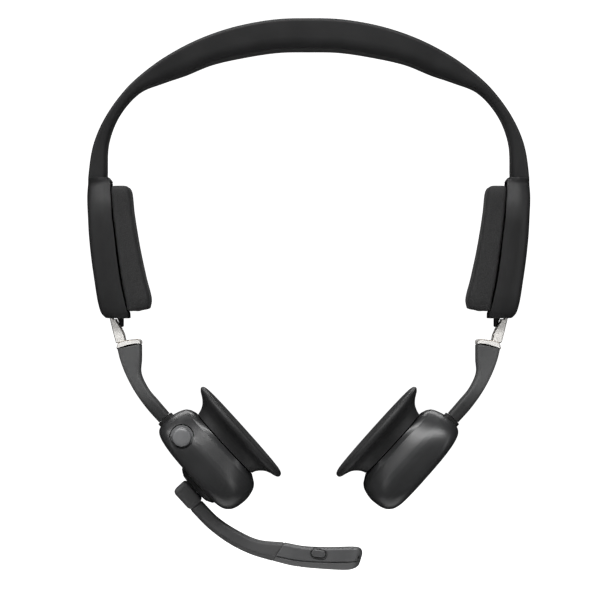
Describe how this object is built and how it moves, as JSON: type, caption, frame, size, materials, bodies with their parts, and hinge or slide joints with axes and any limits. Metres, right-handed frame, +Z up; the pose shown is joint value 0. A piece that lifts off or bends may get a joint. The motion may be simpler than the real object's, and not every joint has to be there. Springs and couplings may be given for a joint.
{
  "type": "bone conduction headset",
  "caption": "Over-head bone conduction headset with padded crown, temple pads, sliding arms, swivelling driver pods with flared contact cups and a turning boom microphone.",
  "frame": {"origin": "middle of the flat underside of the crown pad, where the band rests on the head", "axes": "+Z up through the crown, +X to the wearer's right, +Y the way the wearer faces"},
  "size_m": [0.1852, 0.036, 0.2305],
  "materials": {
    "silicone": "matte soft-touch silicone",
    "spring_steel": "satin",
    "wire_jacket": "matte",
    "foam": "open foam",
    "housing": "satin",
    "inner_plastic": "matte",
    "pad_fabric": "fine grained cover over foam",
    "polished_steel": "polished",
    "arm_plastic": "satin",
    "pod_plastic": "fine satin",
    "contact_silicone": "matte",
    "driver_iron": "plated",
    "copper": "enamelled copper wire",
    "board": "solder mask",
    "boom_rubber": "matte",
    "battery_wrap": "foil"
  },
  "bodies": {
    "headband": {"headband_cover": "silicone", "spring_band": "spring_steel", "link_cable": "wire_jacket", "crown_foam": "foam", "left_side_shell": "housing", "left_side_cover": "inner_plastic", "left_cover_screw": "spring_steel", "left_temple_pad": "pad_fabric", "left_slide_guide": "inner_plastic", "left_detent_spring": "spring_steel", "left_cable_guard": "inner_plastic", "right_side_shell": "housing", "right_side_cover": "inner_plastic", "right_cover_screw": "spring_steel", "right_temple_pad": "pad_fabric", "right_slide_guide": "inner_plastic", "right_detent_spring": "spring_steel", "right_cable_guard": "inner_plastic"},
    "left_arm": {"left_slide_rail": "polished_steel", "left_rail_cap": "polished_steel", "left_arm_shell": "arm_plastic", "left_arm_wire": "wire_jacket"},
    "right_arm": {"right_slide_rail": "polished_steel", "right_rail_cap": "polished_steel", "right_arm_shell": "arm_plastic", "right_arm_wire": "wire_jacket"},
    "left_pod": {"left_swivel_pin": "spring_steel", "left_pod_collar": "inner_plastic", "left_pod_shell": "pod_plastic", "left_pod_lid": "inner_plastic", "left_contact_cup": "contact_silicone", "left_driver_yoke": "driver_iron", "left_driver_coil": "copper", "left_driver_plate": "spring_steel", "main_board": "board", "call_switch": "spring_steel", "boom_base": "inner_plastic"},
    "right_pod": {"right_swivel_pin": "spring_steel", "right_pod_collar": "inner_plastic", "right_pod_shell": "pod_plastic", "right_pod_lid": "inner_plastic", "right_contact_cup": "contact_silicone", "right_driver_yoke": "driver_iron", "right_driver_coil": "copper", "right_driver_plate": "spring_steel", "battery": "battery_wrap", "charge_port": "inner_plastic"},
    "boom": {"boom_axle": "spring_steel", "boom_clip": "spring_steel", "boom_head": "pod_plastic", "boom_stalk": "boom_rubber", "mic_case": "pod_plastic", "mute_switch": "spring_steel", "boom_board": "board"},
    "call_button": {"call_button": "pod_plastic"},
    "mute_button": {"mute_button": "boom_rubber"}
  },
  "joints": [
    {"name": "left_slide", "type": "hinge", "parent": "headband", "child": "left_arm", "pos_m": [0.134, 0, -0.062], "axis": [0, -1, 0], "range_deg": [0, 4]},
    {"name": "right_slide", "type": "hinge", "parent": "headband", "child": "right_arm", "pos_m": [-0.134, 0, -0.062], "axis": [0, 1, 0], "range_deg": [0, 4]},
    {"name": "left_swivel", "type": "hinge", "parent": "left_arm", "child": "left_pod", "pos_m": [-0.05961, 0, -0.15495], "axis": [0.6761, 0, -0.7368], "range_deg": [-10, 10]},
    {"name": "right_swivel", "type": "hinge", "parent": "right_arm", "child": "right_pod", "pos_m": [0.05961, 0, -0.15495], "axis": [-0.6761, 0, -0.7368], "range_deg": [-10, 10]},
    {"name": "boom_turn", "type": "hinge", "parent": "left_pod", "child": "boom", "pos_m": [-0.04804, 0, -0.18368], "axis": [0.7368, 0, 0.6761], "range_deg": [-160, 160]},
    {"name": "call_press", "type": "slide", "parent": "left_pod", "child": "call_button", "axis": [0, 1, 0], "range_m": [0, 0.0005], "stiffness_N_per_m": 600},
    {"name": "mute_press", "type": "slide", "parent": "boom", "child": "mute_button", "axis": [0, 1, 0], "range_m": [0, 0.0004], "stiffness_N_per_m": 500}
  ]
}
